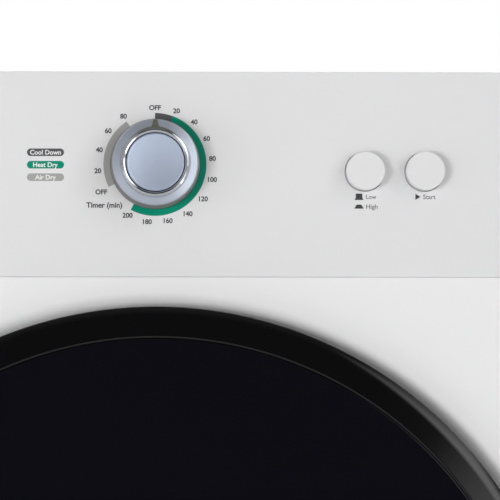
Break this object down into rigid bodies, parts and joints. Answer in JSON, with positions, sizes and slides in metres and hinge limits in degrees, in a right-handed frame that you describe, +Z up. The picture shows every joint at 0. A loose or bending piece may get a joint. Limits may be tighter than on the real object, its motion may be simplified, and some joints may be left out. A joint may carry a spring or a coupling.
{
  "type": "clothes dryer",
  "caption": "Compact vented tumble dryer with a round dark-window door, a rotary timer knob and push buttons, and its drum, fan, motor, belts and heater inside.",
  "frame": {"origin": "on the floor, below the middle of the cabinet's box", "axes": "+Z up, the door faces -Y, +X to the right of someone who stands in front"},
  "size_m": [0.6, 0.5, 0.68],
  "materials": {
    "white_enamel": "semi-gloss baked enamel",
    "white_abs": "fine satin moulded",
    "galvanised_steel": "zinc coated sheet",
    "zinc_steel": "zinc plated",
    "black_nylon": "moulded",
    "grey_nylon": "moulded",
    "dark_rubber": "moulded",
    "silver_abs": "satin silver lacquer",
    "satin_aluminium": "spun satin with a bright rim",
    "gloss_black_abs": "high gloss moulded",
    "tinted_window": "dark tinted, polished",
    "clear_bowl": "clear pressed glass",
    "grey_abs": "moulded",
    "wool_felt": "pressed felt",
    "grey_polypropylene": "moulded",
    "ribbed_aluminium": "finned",
    "stainless_steel": "rolled, fine brushed",
    "cast_aluminium": "die cast",
    "white_polypropylene": "moulded",
    "blue_polypropylene": "moulded",
    "polyester_mesh": "woven filter mesh",
    "black_belt": "ribbed belt",
    "wire_sleeve": "woven sleeve over wires"
  },
  "bodies": {
    "cabinet": {"base_pan": "galvanised_steel", "left_side_panel": "white_enamel", "right_side_panel": "white_enamel", "top_panel": "white_enamel", "rear_panel": "galvanised_steel", "rear_access_cover": "galvanised_steel", "front_panel": "white_enamel", "control_panel": "white_abs", "cord_gland": "black_nylon", "cabinet_screws": "zinc_steel", "rear_feet": "dark_rubber", "timer_body": "grey_nylon", "heat_switch": "black_nylon", "start_switch": "black_nylon", "hinge_bracket": "zinc_steel", "latch_catch": "grey_nylon", "door_switch": "black_nylon", "front_bulkhead": "galvanised_steel", "front_felt_seal": "wool_felt", "rear_bulkhead": "galvanised_steel", "rear_felt_seal": "wool_felt", "main_shaft": "zinc_steel", "fan_housing": "grey_polypropylene", "fan_housing_cover": "grey_polypropylene", "heater_housing": "galvanised_steel", "heater_core": "ribbed_aluminium", "drum_belt": "black_belt", "fan_belt": "black_belt", "motor_housing": "cast_aluminium", "motor_bracket": "galvanised_steel", "run_capacitor": "cast_aluminium", "terminal_block": "grey_nylon", "wire_harness": "wire_sleeve"},
    "door": {"door_outer_ring": "gloss_black_abs", "door_window": "tinted_window", "door_inner_frame": "grey_abs", "door_inner_bowl": "clear_bowl", "door_seal": "dark_rubber", "door_hinge_leaf": "zinc_steel", "door_latch_hook": "grey_nylon", "door_screws": "zinc_steel"},
    "drum": {"drum_shell": "stainless_steel", "drum_back": "stainless_steel", "drum_hub": "cast_aluminium", "drum_baffles": "white_polypropylene"},
    "lint_filter": {"lint_filter_frame": "blue_polypropylene", "lint_filter_mesh": "polyester_mesh"},
    "rotor": {"motor_rotor": "zinc_steel", "fan_drive_pulley": "cast_aluminium"},
    "fan": {"fan_wheel": "grey_polypropylene", "fan_pulley": "cast_aluminium"},
    "belt_tensioner": {"idler_arm": "zinc_steel"},
    "idler": {"idler_pulley": "grey_nylon"},
    "timer_knob": {"timer_shaft": "zinc_steel", "timer_knob_skirt": "silver_abs", "timer_knob_cap": "satin_aluminium"},
    "heat_button": {"heat_button": "white_abs"},
    "start_button": {"start_button": "white_abs"},
    "front_left_foot": {"front_left_foot": "dark_rubber"},
    "front_right_foot": {"front_right_foot": "dark_rubber"}
  },
  "joints": [
    {"name": "door_hinge", "type": "hinge", "parent": "cabinet", "child": "door", "pos_m": [-0.225, -0.225, 0.3128], "axis": [0, 0, -1], "range_deg": [0, 110]},
    {"name": "timer_turn", "type": "hinge", "parent": "cabinet", "child": "timer_knob", "pos_m": [-0.0006, -0.215, 0.6273], "axis": [0, 1, 0], "range_deg": [0, 327]},
    {"name": "heat_press", "type": "slide", "parent": "cabinet", "child": "heat_button", "axis": [0, 1, 0], "range_m": [0, 0.004]},
    {"name": "start_press", "type": "slide", "parent": "cabinet", "child": "start_button", "axis": [0, 1, 0], "range_m": [0, 0.003], "stiffness_N_per_m": 300},
    {"name": "drum_spin", "type": "hinge", "parent": "cabinet", "child": "drum", "pos_m": [0, 0, 0.3128], "axis": [0, 1, 0], "continuous": true},
    {"name": "motor_spin", "type": "hinge", "parent": "cabinet", "child": "rotor", "pos_m": [0.242, 0, 0.078], "axis": [0, 1, 0], "continuous": true},
    {"name": "fan_spin", "type": "hinge", "parent": "cabinet", "child": "fan", "pos_m": [0, 0.18, 0.3128], "axis": [0, 1, 0], "continuous": true},
    {"name": "idler_swing", "type": "hinge", "parent": "cabinet", "child": "belt_tensioner", "pos_m": [0.196, -0.0175, 0.038], "axis": [0, -1, 0], "range_deg": [0, 4], "stiffness_Nm_per_rad": 2, "springref_deg": -17.19},
    {"name": "idler_spin", "type": "hinge", "parent": "belt_tensioner", "child": "idler", "pos_m": [0.14024, -0.03, 0.04039], "axis": [0, 1, 0], "continuous": true},
    {"name": "filter_pull", "type": "slide", "parent": "drum", "child": "lint_filter", "axis": [0, -1, 0], "range_m": [0, 0.08]},
    {"name": "front_left_foot_screw", "type": "slide", "parent": "cabinet", "child": "front_left_foot", "axis": [0, 0, -1], "range_m": [0, 0.012]},
    {"name": "front_right_foot_screw", "type": "slide", "parent": "cabinet", "child": "front_right_foot", "axis": [0, 0, -1], "range_m": [0, 0.012]}
  ],
  "couplings": [
    {"joint": "motor_spin", "follows": "drum_spin", "ratio": 34},
    {"joint": "fan_spin", "follows": "drum_spin", "ratio": 54.4},
    {"joint": "idler_spin", "follows": "drum_spin", "ratio": -19.429}
  ]
}
